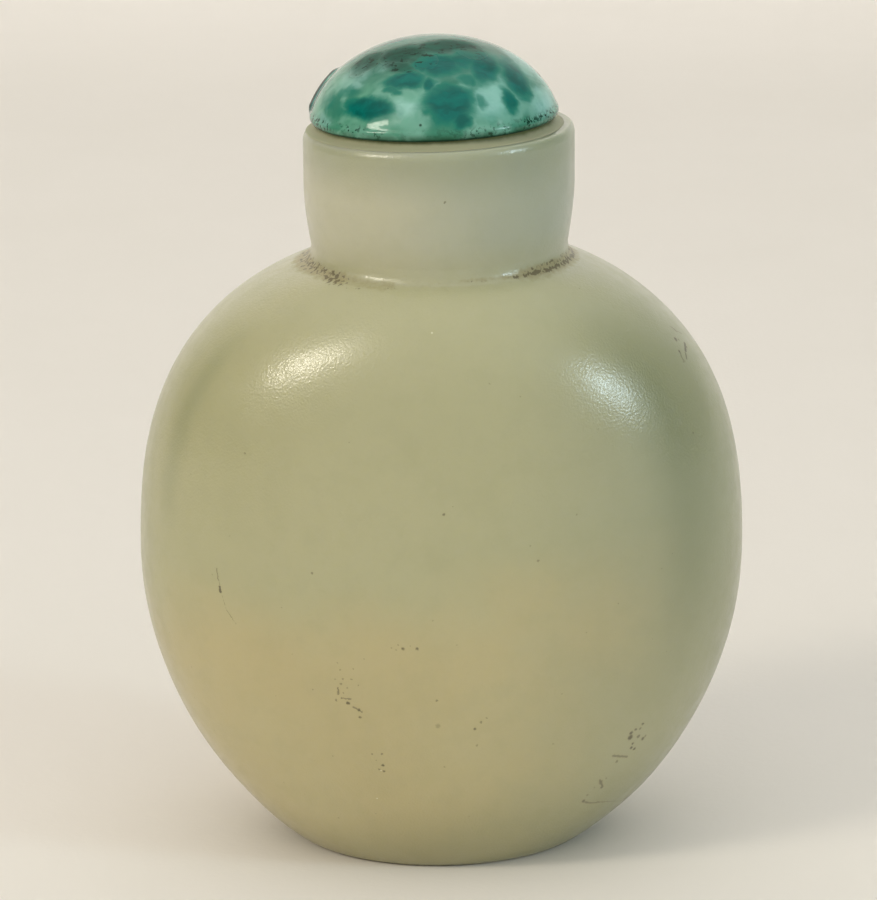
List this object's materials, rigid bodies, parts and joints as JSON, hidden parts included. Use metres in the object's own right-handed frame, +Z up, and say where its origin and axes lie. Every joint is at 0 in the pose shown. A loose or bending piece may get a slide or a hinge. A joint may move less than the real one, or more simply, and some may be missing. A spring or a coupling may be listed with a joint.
{
  "type": "snuff bottle",
  "caption": "Flattened oval snuff bottle carved from pale green stone, hollowed through a short round neck and closed by a domed glass stopper on a cork plug.",
  "frame": {"origin": "middle of the flat foot's underside, which is also the bottom centre of the bounding box", "axes": "+Z up through the neck, +X towards the narrow side where the lip is higher, -Y out of the broad face that the picture shows"},
  "size_m": [0.0458, 0.0314, 0.0618],
  "materials": {
    "stone": "waxy polish on a pale yellowish green, slightly translucent stone, with dark specks and brown dirt round the neck",
    "stopper_glass": "glossy opaque glass, cloudy dark teal and pale mint, with small surface pits",
    "cork": "plain dry cork"
  },
  "bodies": {
    "root": {"bottle": "stone", "stopper_cap": "stopper_glass", "stopper_cork": "cork"}
  },
  "joints": []
}
